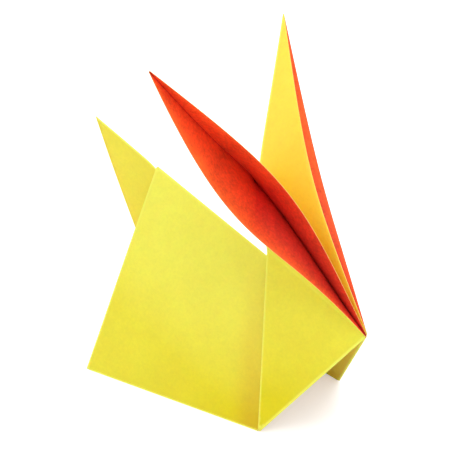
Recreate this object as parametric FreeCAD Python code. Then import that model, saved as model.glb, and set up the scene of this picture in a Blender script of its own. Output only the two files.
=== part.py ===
"""Folded paper rabbit: one square sheet, yellow on one side and red on the other.

The sheet is a kite base folded in half along its diagonal, with a pleated tail and a
slit tip whose two halves are folded up and opened into ears.  The rabbit looks along
+X, Z is up, and the plane Y = 0 is its mirror plane.  Every panel and every fold is
built as a pair of faces, one for the yellow side of the paper and one for the red
side.  The raw edges close the pairs, so that the whole sheet is one solid.
"""
import FreeCAD, Part
import os
from math import atan, cos, radians, sin, sqrt, tan

# ---- driving dimensions, millimetres and degrees -----------------------------------
SHEET = 150.0           # side of the square sheet
PAPER = 0.10            # thickness of the paper
GAP = 0.06              # air between two layers that lie on each other
KITE_ANGLE = 22.5       # between the diagonal and each long crease
SIDE_SPREAD = 23.7      # lean of each side of the body from the mirror plane

NOSE = 84.1             # from the sheet's slit corner to the nose, along the diagonal
FRONT_FOOT = 100.4      # from the same corner to a front foot, along the long crease
BACK_TOP = 155.8        # from the same corner to the rump, along the diagonal
BACK_FOOT = 154.6       # from the same corner to a back foot, along the long crease
PLEAT = 16.7            # depth of the pleat that turns the tail out again
TAIL_ANGLE = 45.0       # corner of the sheet at the tail's tip, halved by the fold
TAIL_SPREAD = 2.0       # half width of the tail's open end inside the body

CREST = 116.5           # from the slit corner to the top of the head crease
CREST_RISE = 1.8        # height of that top over the back line
HEAD_LIFT = 2.0         # how far the head stands off the body at that top
CORNER_CUT = 0.5        # pinhole where four layers meet at a front foot
HEEL_CUT = 0.64         # raw end of the long crease at a back foot
FLAP_SHORT = 4.0        # how far the inner flap stops short of the rump
FLAP_INSET = 2.0        # how far the inner flap stops under the back line

EAR_RISE = 55.1         # slope of the line from nose to ear tip, seen from the side
EAR_SPLAY = 17.4        # how far that line leans away from the mirror plane
EAR_CHORD = 83.1        # its length
EAR_BLUNT = 0.5         # width of each wing at its two ends
NOSE_STEP = 0.6         # from the head panel's corner to the start of the groove
GROOVE_END = 0.42       # part of the ear crease that stays shut, from the head up
EAR_AIR = 0.3           # distance between an ear's two layers along the open crease

# Pulls that shape the curved edges of an ear.  A pull of three values is (along the
# nose-to-tip line, outwards, forwards), and one of two values is (forwards, up).
LAPEL_PULLS = ((37.9, 0.7, -1.7), (-48.3, 7.7, -9.7))
INNER_PULLS = ((37.9, -9.3, 3.3), (-42.7, -9.9, 3.6))
CREST_PULL = 29.6
CREASE_TIP_PULL = (-50.9, -15.3, -14.2)
GROOVE_PULLS = ((-11.9, 9.9), (13.0, -8.5))

# ---- derived values ----------------------------------------------------------------
PITCH = PAPER + GAP
HALF = PAPER / 2
FLAT = 1e-9             # distance from a plane under which a corner lies in it
SPREAD = radians(SIDE_SPREAD)
KITE = radians(KITE_ANGLE)
SLOPE = atan(tan(KITE) * cos(SPREAD))
TAIL_LENGTH = SHEET * sqrt(2) - BACK_TOP - 2 * PLEAT

Vec = FreeCAD.Vector
OUTWARD = Vec(0, -1, 0)
BACK_LINE = Vec(cos(SLOPE), 0, -sin(SLOPE))
BACK_UP = Vec(sin(SLOPE), 0, cos(SLOPE))
SIDE_DOWN = OUTWARD * sin(SPREAD) - BACK_UP * cos(SPREAD)
SIDE_OUT = OUTWARD * cos(SPREAD) + BACK_UP * sin(SPREAD)

YELLOW, RED = 0, 1
right_faces = []
middle_faces = []


# ---- points and curves -------------------------------------------------------------
def unit(v):
    return v * (1 / v.Length)


def in_side(u, w):
    """Direction in the right side's plane: u to the rear, w down from the back line."""
    return SIDE_DOWN * w - BACK_LINE * u


def spot(u, w, level=0.0):
    """Point of the right side, level millimetres outside the body's outer layer."""
    return in_side(u, w) + SIDE_OUT * level


def in_middle(u, depth, out=0.0):
    """Point u along the back line, depth under it and out from the mirror plane."""
    return OUTWARD * out - BACK_LINE * u - BACK_UP * depth


def both(point, yellow_side):
    """The two faces of the paper at a point of its middle surface."""
    shift = unit(yellow_side) * HALF
    return (point + shift, point - shift)


def line(start, end):
    return tuple([start[s], end[s]] for s in (YELLOW, RED))


def curve(points, yellow_sides):
    pairs = [both(p, n) for p, n in zip(points, yellow_sides)]
    return tuple([pair[s] for pair in pairs] for s in (YELLOW, RED))


def bend(start, end, bulge):
    """Half-round section of a fold in three straight steps, from layer to layer."""
    sections = []
    for s in (YELLOW, RED):
        across = end[s] - start[s]
        reach = unit(bulge) * (across.Length * sqrt(3) / 4)
        sections.append([start[s], start[s] + across / 4 + reach,
                         end[s] - across / 4 + reach, end[s]])
    return tuple(sections)


def cubic(points):
    """The same curve with four control points."""
    if len(points) == 4:
        return points
    start, end = points
    return [start + (end - start) * (i / 3) for i in range(4)]


def split(points, at):
    """Cut a cubic curve in two at a share of its parameter."""
    a, b, c, d = points
    ab, bc, cd = a + (b - a) * at, b + (c - b) * at, c + (d - c) * at
    abc, bcd = ab + (bc - ab) * at, bc + (cd - bc) * at
    middle = abc + (bcd - abc) * at
    return [a, ab, abc, middle], [middle, bcd, cd, d]


# ---- faces -------------------------------------------------------------------------
def flat_face(points):
    return Part.Face(Part.makePolygon(points + [points[0]]))


def patch(first, second, start=None, end=None):
    """Face between two long sides, ruled unless its two end sides are given."""
    if len(first) == len(second) == 2 and not start:
        corners = [first[0], first[1], second[1], second[0]]
        normal = (corners[2] - corners[0]).cross(corners[3] - corners[1])
        if abs((corners[1] - corners[0]).dot(unit(normal))) < FLAT:
            return flat_face(corners)
    elif len(first) != len(second) or start:
        first, second = cubic(first), cubic(second)
    surface = Part.BezierSurface()
    last = len(first) - 1
    if not start:
        if last > 1:
            surface.increase(last, 1)
        for i in range(last + 1):
            surface.setPole(i + 1, 1, first[i])
            surface.setPole(i + 1, 2, second[i])
        return surface.toShape()
    surface.increase(3, 3)
    start, end = cubic(start), cubic(end)
    for i in range(4):
        a = i / 3
        for j in range(4):
            b = j / 3
            pole = first[i] * (1 - b) + second[i] * b + start[j] * (1 - a) + end[j] * a
            pole -= first[0] * (1 - a) * (1 - b) + second[0] * (1 - a) * b
            pole -= first[3] * a * (1 - b) + second[3] * a * b
            surface.setPole(i + 1, j + 1, pole)
    return surface.toShape()


def paper(first, second, start=None, end=None):
    """Both faces of a piece of paper between its sides."""
    for s in (YELLOW, RED):
        ends = (start[s], end[s]) if start else ()
        right_faces.append(patch(first[s], second[s], *ends))


def flat_paper(corners):
    """Both faces of a flat piece of paper."""
    for s in (YELLOW, RED):
        right_faces.append(flat_face([corner[s] for corner in corners]))


def raw(edge):
    """The cut edge that closes a pair of faces."""
    right_faces.append(patch(*edge))


def fold(sections, faces=right_faces):
    """Half-round fold through its sections."""
    for s in (YELLOW, RED):
        rails = list(zip(*[section[s] for section in sections]))
        for first, second in zip(rails, rails[1:]):
            faces.append(patch(first, second))


def raw_bend(section, faces=right_faces):
    """The cut end of a fold."""
    yellow, red = section
    for i in range(3):
        faces.append(patch(yellow[i:i + 2], red[i:i + 2]))


def closed_fold(sections, faces=right_faces):
    """Fold whose two ends are both cut edges."""
    fold(sections, faces)
    raw_bend(sections[0], faces)
    raw_bend(sections[-1], faces)


# ---- body --------------------------------------------------------------------------
foot = (FRONT_FOOT * cos(KITE), FRONT_FOOT * sin(KITE))
heel = (BACK_FOOT * cos(KITE), BACK_FOOT * sin(KITE))
crease_bulge = in_side(-sin(KITE), cos(KITE))
rump_bulge = in_side(heel[1], BACK_TOP - heel[0])
chin_bulge = in_side(-foot[1], foot[0] - NOSE)


def between(p, q, distance):
    """Point at a distance from p towards q, in the side's own coordinates."""
    length = sqrt((q[0] - p[0]) ** 2 + (q[1] - p[1]) ** 2)
    return tuple(a + (b - a) * distance / length for a, b in zip(p, q))


def on_ridge(u):
    """Mitred corner of the outer layer on the mirror plane."""
    rise = HALF / tan(SPREAD)
    return (spot(u, -rise, HALF), spot(u, rise, -HALF))


foot_low = between(foot, heel, CORNER_CUT)
foot_front = between(foot, (NOSE, 0), CORNER_CUT)
heel_fold = between(heel, foot, HEEL_CUT)

outer = {name: both(spot(*place), SIDE_OUT) for name, place in dict(
    heel=heel, heel_fold=heel_fold, foot_low=foot_low, foot_front=foot_front).items()}
outer["rump"] = on_ridge(BACK_TOP)
outer["nose"] = on_ridge(NOSE)
flat_paper([outer[name] for name in
            ("rump", "heel", "heel_fold", "foot_low", "foot_front", "nose")])
raw(line(outer["heel"], outer["heel_fold"]))
raw(line(outer["foot_low"], outer["foot_front"]))

# The inner flap lies one layer inside, and its raw edges stop short of the ridge.
flap_nose = between((NOSE, 0), foot, FLAP_INSET)
flap_rump = (BACK_TOP - FLAP_SHORT, FLAP_INSET)
flap = {name: both(spot(*place, -PITCH), -SIDE_OUT) for name, place in dict(
    heel_fold=heel_fold, foot_low=foot_low, foot_front=foot_front,
    nose=flap_nose, rump=flap_rump).items()}
flat_paper([flap[name] for name in
            ("rump", "heel_fold", "foot_low", "foot_front", "nose")])
raw(line(flap["nose"], flap["rump"]))
raw(line(flap["rump"], flap["heel_fold"]))
raw(line(flap["foot_low"], flap["foot_front"]))

closed_fold([bend(outer[name], flap[name], crease_bulge)
             for name in ("heel_fold", "foot_low")])

# ---- rump panel and tail -----------------------------------------------------------
tuck = (2 * PITCH * cos(SPREAD) + 1.5 * PITCH) / sin(SPREAD)
tuck_depth = tuck * cos(SPREAD) + 2 * PITCH * sin(SPREAD)
pleat_u = BACK_TOP - PLEAT
pleat_top = tuck_depth * (1 + PLEAT / TAIL_LENGTH)
pleat_low = (TAIL_LENGTH + PLEAT) * tan(radians(TAIL_ANGLE))

gusset_mid = [
    spot(*between((BACK_TOP, 0), heel, tuck), -2 * PITCH),
    spot(*heel, -2 * PITCH),
    in_middle(pleat_u, pleat_low, TAIL_SPREAD + PITCH),
    in_middle(pleat_u, pleat_top, 1.5 * PITCH),
]
top, low, pleat_foot, pleat_head = gusset_mid
rear_side = unit((top - low).cross(pleat_foot - low))
front_side = unit((pleat_foot - pleat_head).cross(top - pleat_head))
across_bend = rear_side + front_side
gusset = [both(corner, side) for corner, side in zip(
    gusset_mid, (across_bend, rear_side, across_bend, front_side))]
flat_paper([gusset[0], gusset[1], gusset[2]])
flat_paper([gusset[0], gusset[2], gusset[3]])
raw(line(gusset[1], gusset[2]))

tail_mid = [
    in_middle(pleat_u, pleat_top, PITCH / 2),
    in_middle(pleat_u, pleat_low, TAIL_SPREAD),
    in_middle(BACK_TOP + TAIL_LENGTH, 0, PITCH / 2),
]
tail_side = (tail_mid[2] - tail_mid[0]).cross(tail_mid[1] - tail_mid[0])
tail = [both(corner, tail_side) for corner in tail_mid]
flat_paper(tail)
raw(line(tail[1], tail[2]))

closed_fold([bend(outer["rump"], gusset[0], rump_bulge),
             bend(outer["heel"], gusset[1], rump_bulge)])
closed_fold([bend(gusset[3], tail[0], BACK_LINE), bend(gusset[2], tail[1], BACK_LINE)])


def mirrored(pair):
    return tuple(Vec(p.x, -p.y, p.z) for p in pair)


def spine(first, last):
    """Half-round ridge that joins a panel to its mirror image."""
    closed_fold([bend(point, mirrored(point), BACK_UP) for point in (first, last)],
                middle_faces)


spine(gusset[0], gusset[3])
spine(tail[0], tail[2])

# ---- head --------------------------------------------------------------------------
def head_corners(level):
    """Foot, nose and crest of a head layer, by its level over the body."""
    return (spot(*foot, level), spot(NOSE, 0, level),
            spot(CREST, -CREST_RISE, level + HEAD_LIFT))


def head_layer(level, yellow):
    """Lower head panel: corners as pairs, with yellow outwards (1) or inwards (-1)."""
    low, nose, crest = head_corners(level)
    side = (nose - low).cross(crest - low)
    side = side * (yellow if side.dot(SIDE_OUT) > 0 else -yellow)
    places = dict(front=low + unit(nose - low) * CORNER_CUT,
                  back=low + unit(crest - low) * CORNER_CUT, crest=crest, nose=nose)
    layer = {name: both(place, side) for name, place in places.items()}
    flat_paper([layer[name] for name in ("front", "back", "crest", "nose")])
    raw(line(layer["front"], layer["back"]))
    layer["side"] = side
    return layer


head_in = head_layer(PITCH, -1)
head_out = head_layer(2 * PITCH, 1)

foot_mid, nose_mid, crest_mid = head_corners(1.5 * PITCH)
head_edge = unit(crest_mid - foot_mid)
to_foot = foot_mid - nose_mid
head_bulge = to_foot - head_edge * to_foot.dot(head_edge)

for body_layer, head_panel in ((outer, head_in), (flap, head_out)):
    closed_fold([bend(body_layer["foot_front"], head_panel["front"], chin_bulge),
                 bend(body_layer["nose"], head_panel["nose"], chin_bulge)])

head_ends = [bend(head_in[name], head_out[name], head_bulge)
             for name in ("back", "crest")]
fold(head_ends)
raw_bend(head_ends[0])

# ---- ears --------------------------------------------------------------------------
rise, splay = radians(EAR_RISE), radians(EAR_SPLAY)
ALONG = Vec(-cos(rise) * cos(splay), -sin(splay), sin(rise) * cos(splay))
ASIDE = unit(OUTWARD - ALONG * OUTWARD.dot(ALONG))
AHEAD = ALONG.cross(ASIDE)


def pulled(point, pull):
    """Control point at a pull from the given point, in the ear's own directions."""
    along, aside, ahead = pull
    return point + ALONG * along + ASIDE * aside + AHEAD * ahead


def side_view(ahead, up):
    return Vec(ahead, 0, up)


tip = spot(NOSE, 0) + ALONG * EAR_CHORD
crest_run = crest_mid - nose_mid
groove_start = nose_mid + unit(side_view(crest_run.z, -crest_run.x)) * NOSE_STEP
crest_up = unit(Vec(head_edge.x, 0, head_edge.z))
crease = [crest_mid, crest_mid + crest_up * CREST_PULL,
          pulled(tip, CREASE_TIP_PULL), tip]
shut_crease, open_crease = split(crease, GROOVE_END)
groove_top = shut_crease[3]
groove = [groove_start, groove_start + side_view(*GROOVE_PULLS[0]),
          groove_top + side_view(*GROOVE_PULLS[1]), groove_top]

# Free edges: the lapel turns outwards, the inner wing stays beside the mirror plane.
nose_point = spot(NOSE, 0)
free_edges = []
for pulls, lean in ((LAPEL_PULLS, ASIDE), (INNER_PULLS, AHEAD)):
    start = groove_start + lean * EAR_BLUNT
    end = tip + lean * EAR_BLUNT
    edge = [start, pulled(nose_point, pulls[0]), pulled(tip, pulls[1]), end]
    free_edges.append(split(edge, 0.5))

# Steps across the ear, from the inner wing to the lapel, at the control points.
lapel_low, lapel_high = free_edges[0]
inner_low, inner_high = free_edges[1]
across_low = [unit(a - b) for a, b in zip(lapel_low, inner_low)]
across_high = [unit(a - b) for a, b in zip(lapel_high, inner_high)]
across_top = across_high[0] * EAR_AIR
across_closed = [SIDE_OUT * PITCH, OUTWARD * PITCH, OUTWARD * EAR_AIR, across_top]


def shifted(points, steps, share):
    return [p + step * share for p, step in zip(points, steps)]


def wing_sides(inner, outer_edge, shared, towards):
    """Yellow side of a wing at each pair of control points, turned alike."""
    sides = []
    for i in range(4):
        run = outer_edge[min(i + 1, 3)] - outer_edge[max(i - 1, 0)]
        sides.append(unit((outer_edge[i] - inner[i]).cross(run)))
    if sides[shared].dot(towards) < 0:
        sides = [side * -1 for side in sides]
    return [side if side.dot(sides[shared]) > 0 else side * -1 for side in sides]


def ear_layer(layer, sign, low_edge, high_edge):
    """Cheek and wing of one layer; sign is 1 for the lapel, -1 for the inner wing."""
    share = sign / 2
    panel_side = unit(layer["side"])
    low_sides = wing_sides(groove, low_edge, 3, across_top * sign)
    high_sides = wing_sides(open_crease, high_edge, 0, across_top * sign)
    groove_sides = [unit(side + panel_side) for side in low_sides]
    top_side = groove_sides[3]

    groove_in = curve(shifted(groove, across_closed, share), groove_sides)
    low_out = curve(shifted(low_edge, across_low, share * PITCH), low_sides)
    high_in = curve(shifted(open_crease, [step * EAR_AIR for step in across_high], share),
                    [top_side] + high_sides[1:])
    high_out = curve(shifted(high_edge, across_high, share * PITCH), high_sides)
    shut_in = shifted(shut_crease, across_closed, share)
    shut_in[0] = (layer["crest"][YELLOW] + layer["crest"][RED]) * 0.5
    shut = curve(shut_in, [panel_side, panel_side, top_side, top_side])

    start = (groove_in[YELLOW][0], groove_in[RED][0])
    cheek_start = line(layer["nose"], start)
    paper(line(layer["nose"], layer["crest"]), groove_in, cheek_start, shut)
    paper(groove_in, low_out)
    paper(high_in, high_out)
    raw(cheek_start)
    raw(line(start, (low_out[YELLOW][0], low_out[RED][0])))
    raw(low_out)
    raw(high_out)
    raw(line(*[(edge[YELLOW][3], edge[RED][3]) for edge in (high_in, high_out)]))
    return shut, high_in


shut_inner, open_inner = ear_layer(head_in, -1, inner_low, inner_high)
shut_lapel, open_lapel = ear_layer(head_out, 1, lapel_low, lapel_high)


def crease_fold(inner, lapel, bulges):
    """Fold along the back of an ear, between the edges of its two layers."""
    sections = []
    for i, bulge in enumerate(bulges):
        ends = [(edge[YELLOW][i], edge[RED][i]) for edge in (inner, lapel)]
        sections.append(bend(*ends, bulge))
    fold(sections)
    return sections


middle_of_wings = (lapel_low[3] + inner_low[3]) * 0.5
groove_bulge = groove_top - middle_of_wings
crease_fold(shut_inner, shut_lapel, [head_bulge, head_bulge, groove_bulge, groove_bulge])
open_fold = crease_fold(open_inner, open_lapel,
                        [groove_bulge, groove_bulge, -AHEAD, -AHEAD])
raw_bend(open_fold[3])

# ---- the whole sheet ---------------------------------------------------------------
mirror_origin, mirror_normal = Vec(0, 0, 0), Vec(0, 1, 0)
left_faces = [face.mirror(mirror_origin, mirror_normal) for face in right_faces]
sheet = Part.makeCompound(right_faces + left_faces + middle_faces)
sheet.sewShape()
solid = Part.Solid(sheet.Shells[0])
if solid.Volume < 0:
    solid.reverse()

# The origin lies on the ground under the middle of the rabbit.
box = solid.BoundBox
solid.translate(Vec(-(box.XMin + box.XMax) / 2, 0, -box.ZMin))

os.makedirs("parts", exist_ok=True)
solid.exportStep("parts/folded_sheet.step")
print("sheet valid", solid.isValid(), "volume", round(solid.Volume, 1), "of",
      round(SHEET * SHEET * PAPER, 1), "box", solid.BoundBox)
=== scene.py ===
# %% [markdown]
# # A rabbit folded from one square of paper
#
# The real object is a single square of origami paper, yellow on one side and red on
# the other.  It is a kite base folded in half, with a pleated tail and a slit tip whose
# halves are folded up into ears.  Nothing is glued or joined, so the Blender piece is
# one continuous surface too.  The CAD model of the same sheet comes first: it is the
# frame that the piece is placed in.

# %% Load the frame
from math import atan, ceil, cos, degrees, exp, pi, radians, sin, sqrt, tan

import bpy
import numpy as np
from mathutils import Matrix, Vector
from mathutils.geometry import delaunay_2d_cdt, interpolate_bezier


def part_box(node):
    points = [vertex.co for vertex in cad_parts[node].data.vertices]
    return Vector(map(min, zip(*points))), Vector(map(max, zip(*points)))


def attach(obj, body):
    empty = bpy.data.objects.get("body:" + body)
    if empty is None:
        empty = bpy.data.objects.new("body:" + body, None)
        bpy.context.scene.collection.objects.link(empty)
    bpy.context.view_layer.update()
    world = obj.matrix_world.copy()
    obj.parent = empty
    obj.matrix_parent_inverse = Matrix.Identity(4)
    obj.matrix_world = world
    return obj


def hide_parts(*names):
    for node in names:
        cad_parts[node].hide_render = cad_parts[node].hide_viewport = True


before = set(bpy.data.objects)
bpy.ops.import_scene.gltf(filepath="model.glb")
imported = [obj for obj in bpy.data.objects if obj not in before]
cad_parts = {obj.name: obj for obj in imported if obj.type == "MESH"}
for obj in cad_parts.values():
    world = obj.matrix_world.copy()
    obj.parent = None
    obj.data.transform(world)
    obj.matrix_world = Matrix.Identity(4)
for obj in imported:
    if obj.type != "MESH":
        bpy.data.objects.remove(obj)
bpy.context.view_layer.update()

MM = 0.001

# %% [markdown]
# ## The measures of the folds
#
# A folder thinks in distances on the flat sheet: where a crease crosses the diagonal
# and where it meets the long crease of the kite base.  The same few distances drive
# this model, in millimetres from the corner that becomes the ear tips.

# %% Driving dimensions, in millimetres and degrees
SHEET = 150.0
PAPER = 0.10
GAP = 0.06                     # air between two layers that lie on each other
KITE_ANGLE = radians(22.5)
SIDE_SPREAD = radians(23.7)    # each side leans this far from upright
NOSE = 84.1                    # on the diagonal
FRONT_FOOT = 100.4             # on the long crease
BACK_TOP = 155.8               # on the diagonal
BACK_FOOT = 154.6              # on the long crease
PLEAT = 16.7                   # depth of the pleat at the rump
TAIL_ANGLE = radians(45.0)
TAIL_SPREAD = 2.0              # from the middle to a raw edge at the tail's foot
CREST = 116.5                  # top of the head, beside the diagonal
CREST_RISE = 1.8
HEAD_LIFT = 2.0                # the head's top stands this far off the body
CORNER_CUT = 0.3
FLAP_SHORT = 4.0               # the flap ends this far before the rump
FLAP_INSET = 2.0               # and its raw edge this far below the back
NOSE_INSET = 0.7
RIDGE_RADIUS = 0.25

PITCH = PAPER + GAP
SLOPE = atan(tan(KITE_ANGLE) * cos(SIDE_SPREAD))
TAIL_LENGTH = SHEET * sqrt(2) - BACK_TOP - 2 * PLEAT
print("back falls by", round(degrees(SLOPE), 1), "degrees, tail is", round(TAIL_LENGTH, 1),
      "mm long")

# %% [markdown]
# ## Places on the rabbit
#
# The body is a tent of two leaning sides.  A point on the right side needs two
# numbers, like a place on the flat paper: how far it lies along the back line and how
# far it lies down the side.  A third number, the level, lifts it off the side, because
# folded paper lies in layers.

# %% Directions and places
OUTWARD = Vector((0, -1, 0))
BACK_LINE = Vector((cos(SLOPE), 0, -sin(SLOPE)))
BACK_UP = Vector((sin(SLOPE), 0, cos(SLOPE)))
SIDE_DOWN = OUTWARD * sin(SIDE_SPREAD) - BACK_UP * cos(SIDE_SPREAD)
SIDE_OUT = OUTWARD * cos(SIDE_SPREAD) + BACK_UP * sin(SIDE_SPREAD)


def in_side(u, w):
    """Step in the plane of the right side, u back along the back line and w down."""
    return SIDE_DOWN * w - BACK_LINE * u


def spot(u, w, level=0.0):
    """Place on the right side, lifted off it by level."""
    return in_side(u, w) + SIDE_OUT * level


def in_middle(u, depth, out=0.0):
    """Place at a depth below the back line, out from the mirror plane."""
    return OUTWARD * out - BACK_LINE * u - BACK_UP * depth


def between(p, q, distance):
    """Flat place at a distance from p on the way to q."""
    length = sqrt((q[0] - p[0]) ** 2 + (q[1] - p[1]) ** 2)
    return tuple(a + (b - a) * distance / length for a, b in zip(p, q))


# %% [markdown]
# ## A surface made of patches
#
# Paper is a surface before it is a solid.  Each panel and each fold adds its points and
# faces to one list, and points that fall on the same place become one point, so that
# neighbours share their edge.  Every point also learns how far it lies from the nearest
# crease and from the nearest cut edge.  The finish uses that later, because the colour
# of paper is worn along both, and on the yellow side that line is also a painted
# highlight.  A few marks go with the points too: how much each side is tinted, as painted
# light from behind a single layer and as painted shade in the band behind the head; how
# much deeper the yellow is painted; and how much painted shade darkens a groove or that
# band.

# %% The sheet under construction
FAR = 99.0
NOT_ZERO = 1e-12
SAME_DIGITS = 4    # points that agree to so many digits of a millimetre are one
MARKS = ("yellow_tint", "red_tint", "deep", "shelter")


class Sheet:
    """Points, faces, wear distances and marks of the right half of the sheet."""

    def __init__(self):
        self.points, self.faces, self.index = [], [], {}
        self.distances = {"fold": [], "cut": []}
        self.marks = {name: [] for name in MARKS}

    def number(self, point):
        """Number of the point at this place, a new one if none is there yet."""
        key = tuple(round(v, SAME_DIGITS) for v in point)
        if key not in self.index:
            self.index[key] = len(self.points)
            self.points.append(point)
            for values in self.distances.values():
                values.append(FAR)
            for values in self.marks.values():
                values.append(0.0)
        return self.index[key]

    def add(self, points, faces, borders, marks=None):
        """Add a patch; borders are (points, kind) with kind fold, cut or plain.

        Marks are lists with a value for each point.
        """
        numbers = [self.number(p) for p in points]
        for name, values in (marks or {}).items():
            for i, mark in zip(numbers, values):
                self.marks[name][i] = max(self.marks[name][i], mark)
        for face in faces:
            corners = list(dict.fromkeys(numbers[i] for i in face))
            if len(corners) > 2:
                self.faces.append(corners)
        for kind, distances in self.distances.items():
            lines = [line for line, what in borders if what == kind]
            if lines:
                for i, d in zip(numbers, distance_to(points, lines)):
                    distances[i] = min(distances[i], float(d))


def distance_to(points, lines):
    """Shortest distance from each point to the given chains of points."""
    p = np.array([tuple(v) for v in points])[:, None]
    a = np.array([tuple(v) for line in lines for v in line[:-1]])
    b = np.array([tuple(v) for line in lines for v in line[1:]])
    run = b - a
    share = ((p - a) * run).sum(2) / np.maximum((run * run).sum(1), NOT_ZERO)
    near = a + np.clip(share, 0, 1)[..., None] * run
    return np.sqrt(((p - near) ** 2).sum(2)).min(1)


sheet = Sheet()

# %% [markdown]
# ## Flat panels
#
# A flat panel has a border whose points are fixed by its neighbours.  Filling it with
# one large face would leave nothing to bend, so it is filled with small triangles by a
# Delaunay triangulation, and its middle is pushed out a little.  Folded paper always
# bellies slightly between its creases.  The push is a product of one term for each
# side, which is zero on that side and grows softly away from it, so that the panel
# stays smooth all over.

# %% Straight lines and flat panels
STEP = 1.2
ROW_STEP = STEP * 0.87     # rows of nearly equal-sided triangles
EDGE_ROOM = 0.5 * STEP
BELLY_REACH = 12.0
INSIDE_ONLY = 1            # what the triangulation keeps
SAME_FLAT_PLACE = 1e-6


def straight(start, end, count=None):
    """Points from start to end, about STEP apart unless counted."""
    count = count or max(1, ceil((end - start).length / STEP))
    return [start.lerp(end, i / count) for i in range(count + 1)]


def inside(loop, points):
    """Which flat points lie inside a closed loop."""
    result = np.zeros(len(points), bool)
    x, y = points[:, 0], points[:, 1]
    for (x1, y1), (x2, y2) in zip(loop, np.roll(loop, -1, 0)):
        crosses = (y1 > y) != (y2 > y)
        with np.errstate(divide="ignore", invalid="ignore"):
            result ^= crosses & (x < (x2 - x1) * (y - y1) / (y2 - y1) + x1)
    return result


def panel_plane(loop):
    """Middle of a loop of points, two directions in its plane, and the normal."""
    origin = sum(loop, Vector()) / len(loop)
    normal = Vector()
    for p, q in zip(loop, loop[1:] + loop[:1]):
        normal += (p - origin).cross(q - origin)
    normal.normalize()
    across = (loop[1] - loop[0]).normalized()
    return origin, across, normal.cross(across), normal


def mark_values(marks, places):
    """Marks of a panel: numbers for all of it, or rules that give one for a place."""
    return {name: [mark(place) if callable(mark) else mark for place in places]
            for name, mark in marks.items()}


def flat_panel(borders, belly=0.0, towards=SIDE_OUT, **marks):
    """Panel inside a ring of (points, kind) borders, bulged by belly at its middle."""
    loop = [p for line, kind in borders for p in line[:-1]]
    origin, across, along, normal = panel_plane(loop)
    flat = np.array([((p - origin).dot(across), (p - origin).dot(along)) for p in loop])
    low, high = flat.min(0), flat.max(0)
    grid = np.array([(x + (row % 2) * STEP / 2, y)
                     for row, y in enumerate(np.arange(low[1], high[1], ROW_STEP))
                     for x in np.arange(low[0], high[0], STEP)])
    grid = grid[inside(flat, grid)]
    places = [origin + across * float(x) + along * float(y) for x, y in grid]
    room = distance_to(places, [loop + loop[:1]]) if places else []
    outwards = normal if normal.dot(towards) > 0 else -normal
    sides = [(line[0], (line[-1] - line[0]).normalized()) for line, kind in borders
             if (line[-1] - line[0]).length > 2 * STEP]
    flat_points = [Vector(map(float, xy)) for xy in flat]
    filled = list(loop)
    for xy, place, distance in zip(grid, places, room):
        if distance > EDGE_ROOM:
            rise = belly
            for start, way in sides:
                rise *= 1 - exp(-(place - start).cross(way).length / BELLY_REACH)
            flat_points.append(Vector(map(float, xy)))
            filled.append(place + outwards * rise)
    ring = list(range(len(loop)))
    made = delaunay_2d_cdt(flat_points, [], [ring], INSIDE_ONLY, SAME_FLAT_PLACE)
    sources = [source[0] for source in made[3]]
    faces = [[sources[i] for i in face] for face in made[2]]
    sheet.add(filled, faces, borders, mark_values(marks, filled))


# %% [markdown]
# ## Curved panels and folds
#
# A curved panel is blended from its four borders, which is called a Coons patch.  A
# fold is a strip of small half circles that turns one layer into the next.  Paper
# never folds to a knife edge: the outside of the crease keeps a tiny radius, and that
# radius is what catches the light.

# %% Curved panels and folds
ROUND_STEPS = 8
MOST_SWELL = 1.5 * PITCH    # a wide fold is flat rather than round


def grid_faces(rows, columns):
    """Faces of a grid whose points are numbered row by row."""
    return [(i * columns + j, i * columns + j + 1, (i + 1) * columns + j + 1,
             (i + 1) * columns + j)
            for i in range(rows - 1) for j in range(columns - 1)]


def curved_panel(first, second, start, end, kinds, **marks):
    """Coons patch; kinds names the borders first, second, start and end."""
    rows, columns = len(first), len(start)
    points = []
    for i in range(rows):
        a = i / (rows - 1)
        for j in range(columns):
            b = j / (columns - 1)
            p = first[i] * (1 - b) + second[i] * b + start[j] * (1 - a) + end[j] * a
            p -= first[0] * ((1 - a) * (1 - b)) + second[0] * ((1 - a) * b)
            p -= first[-1] * (a * (1 - b)) + second[-1] * (a * b)
            edge = {0: start, rows - 1: end}.get(i)
            side = {0: first, columns - 1: second}.get(j)
            points.append(edge[j] if edge else side[i] if side else p)
    borders = list(zip((first, second, start, end), kinds))
    sheet.add(points, grid_faces(rows, columns), borders, mark_values(marks, points))


def half_round(start, end, bulge):
    """Points of a half circle from start to end that swells towards bulge."""
    middle, reach = (start + end) / 2, (start - end) / 2
    swell = bulge - reach * (bulge.dot(reach) / reach.length_squared)
    swell = swell.normalized() * min(reach.length, MOST_SWELL)
    angles = [pi * i / ROUND_STEPS for i in range(ROUND_STEPS + 1)]
    points = [middle + reach * cos(angle) + swell * sin(angle) for angle in angles]
    points[0], points[-1] = start, end
    return points


def creased_strip(rows, marks=None):
    """A strip given as rows of points, all of it part of a crease."""
    creases = [(list(line), "fold") for line in zip(*rows)]
    sheet.add([p for row in rows for p in row], grid_faces(len(rows), len(rows[0])),
              creases, marks)


def fold(first, second, bulges, shelter=()):
    """Rounded fold between the edges of two layers.

    Bulges is one direction for all points, or one for each; the last argument gives the
    painted shade of each.
    """
    if isinstance(bulges, Vector):
        bulges = [bulges] * len(first)
    marks = {"shelter": [mark for mark in shelter for _ in range(ROUND_STEPS + 1)]}
    creased_strip([half_round(a, b, c) for a, b, c in zip(first, second, bulges)], marks)


def ridge(points):
    """Right half of a rounded ridge over the mirror plane."""
    rows = [half_round(p, Vector((p.x, -p.y, p.z)), BACK_UP)[:ROUND_STEPS // 2 + 1]
            for p in points]
    for row in rows:
        row[-1].y = 0.0
    creased_strip(rows)
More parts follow.
